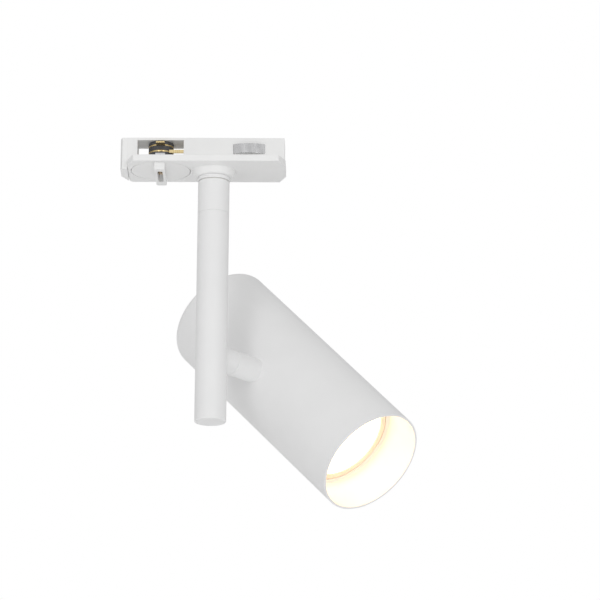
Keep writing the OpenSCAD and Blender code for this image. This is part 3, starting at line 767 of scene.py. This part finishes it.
def make_lamp():
    """The lamp's body with its front bezel, and the frosted diffuser inside it."""
    low, high, radius = measure("lamp_shell", HEAD)
    lens_low, lens_high, lens_r = measure("lamp_lens", HEAD)
    bezel = lens_r + LENS_GAP
    waist = radius - 3.5 * MM
    base_bore = LAMP_BASE - LAMP_WALL
    outer = [(0, low, 0), (LAMP_BASE, low, 1 * MM), (LAMP_BASE, low + 9 * MM, 4 * MM),
             (waist, high - 9 * MM, 3 * MM), (radius, high - 5.5 * MM, 1 * MM), (radius, high, 0.4 * MM)]
    inner = [(bezel, high, 0.3 * MM), (bezel, high - 3 * MM, 0),
             (radius - LAMP_WALL - 2 * MM, high - 4 * MM, 0), (waist - LAMP_WALL, high - 8 * MM, 0),
             (base_bore, low + 10 * MM, 0), (base_bore, low + LAMP_WALL, 0), (0, low + LAMP_WALL, 0)]
    outline = rounded(outer + inner, closed=False)
    Shell().turned(outline, HEAD_SIDES).piece("lamp_body", HEAD, "lamp", "lamp_plastic", ["lamp_shell"])
    steps = [i / LENS_RINGS for i in range(LENS_RINGS + 1)]
    crown = [(lens_r * step, lens_high - LENS_SAG * step ** 2) for step in steps]
    outline = [(0, lens_low), (lens_r, lens_low), *reversed(crown)]
    Shell().turned(outline, HEAD_SIDES).piece("lamp_diffuser", HEAD, "lamp", "lamp_lens", ["lamp_lens"])


# ---- studio ----

WORLD_LIGHT = 0.592
FRONT_LIGHT = Vector((0, -0.137, 0))
FLOOR_LEVEL = -2.4
FLOOR_HALF = 9
SOFTBOX_SIZE = 0.5
SOFTBOX_POWER = 6.1
WASH_HEIGHT = 1.3
WASH_SIZE = 4
WASH_POWER = 42


def make_world():
    """A white surround for the eye, and a softer light that is stronger from the front."""
    world = bpy.data.worlds.new("studio")
    bpy.context.scene.world = world
    world.use_nodes = True
    tree = world.node_tree
    tree.nodes.clear()
    coords = tree.nodes.new("ShaderNodeTexCoord")
    front = tree.nodes.new("ShaderNodeVectorMath")
    front.operation = "DOT_PRODUCT"
    front.inputs[1].default_value = FRONT_LIGHT
    tree.links.new(coords.outputs["Generated"], front.inputs[0])
    ahead = tree.nodes.new("ShaderNodeMath")
    ahead.operation = "MAXIMUM"
    ahead.inputs[1].default_value = 0
    tree.links.new(front.outputs["Value"], ahead.inputs[0])
    level = tree.nodes.new("ShaderNodeMath")
    level.inputs[1].default_value = WORLD_LIGHT
    tree.links.new(ahead.outputs["Value"], level.inputs[0])
    light = tree.nodes.new("ShaderNodeBackground")
    tree.links.new(level.outputs["Value"], light.inputs["Strength"])
    white = tree.nodes.new("ShaderNodeBackground")
    path = tree.nodes.new("ShaderNodeLightPath")
    mix = tree.nodes.new("ShaderNodeMixShader")
    out = tree.nodes.new("ShaderNodeOutputWorld")
    for node in (light, white):
        node.inputs["Color"].default_value = (1, 1, 1, 1)
    tree.links.new(path.outputs["Is Camera Ray"], mix.inputs["Fac"])
    tree.links.new(light.outputs["Background"], mix.inputs[1])
    tree.links.new(white.outputs["Background"], mix.inputs[2])
    tree.links.new(mix.outputs["Shader"], out.inputs["Surface"])


def make_softbox(name, place_at, target, size, power):
    """A square area light aimed at a point."""
    data = bpy.data.lights.new(name, "AREA")
    data.shape = "SQUARE"
    data.size = size
    data.energy = power
    light = bpy.data.objects.new(name, data)
    light.location = place_at
    light.rotation_mode = "QUATERNION"
    light.rotation_quaternion = (Vector(target) - Vector(place_at)).to_track_quat("-Z", "Y")
    light.visible_camera = False
    bpy.context.scene.collection.objects.link(light)


def make_floor():
    """A pale floor well below the lamp, which hangs over it."""
    finish = Finish("floor", (0.84, 0.84, 0.84), 0.7)
    finish.mottle(1.5, (0.82, 0.82, 0.82), (0.86, 0.86, 0.86))
    finish.uneven(8, 0.08)
    finish.grain((160, 0.0004))
    bm = bmesh.new()
    bmesh.ops.create_grid(bm, x_segments=8, y_segments=8, size=FLOOR_HALF)
    mesh = bpy.data.meshes.new("floor")
    bm.to_mesh(mesh)
    bm.free()
    floor = bpy.data.objects.new("floor", mesh)
    floor.location.z = FLOOR_LEVEL
    mesh.materials.append(finish.material)
    bpy.context.scene.collection.objects.link(floor)


def make_lights():
    """Two soft boxes in front, and a wash on the floor that lights the lamp from below."""
    middle = (cad_box[0] + cad_box[1]) / 2
    make_softbox("key", (-0.75, -2.07, 0), middle, SOFTBOX_SIZE, SOFTBOX_POWER)
    make_softbox("fill", (0.93, -1.99, 0), middle, SOFTBOX_SIZE, SOFTBOX_POWER)
    above_floor = (0, 0, FLOOR_LEVEL + WASH_HEIGHT)
    make_softbox("floor_wash", above_floor, (0, 0.001, FLOOR_LEVEL), WASH_SIZE, WASH_POWER)


# Widths, in millimetres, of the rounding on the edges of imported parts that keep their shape.
EASED_PARTS = {
    "adapter_base": 0.25,
    "adapter_lid": 0.15,
    "contact_rotor": 0.12,
    "lock_cam": 0.1,
    "live_blade": 0.1,
    "neutral_blade": 0.1,
    "rotor_circlip": 0.06,
    "rotor_screw": 0.1,
    "earth_spring": 0.06,
    "retaining_spring": 0.06,
}

make_camera()
bpy.context.scene.view_settings.view_transform = "Standard"
dress_packed_parts()
make_cover()
make_neck_ring()
make_lever()
make_pole()
make_stub()
make_head()
make_collar()
make_lamp()
for part, width in EASED_PARTS.items():
    softened(part, width * MM)
make_world()
make_lights()
make_floor()
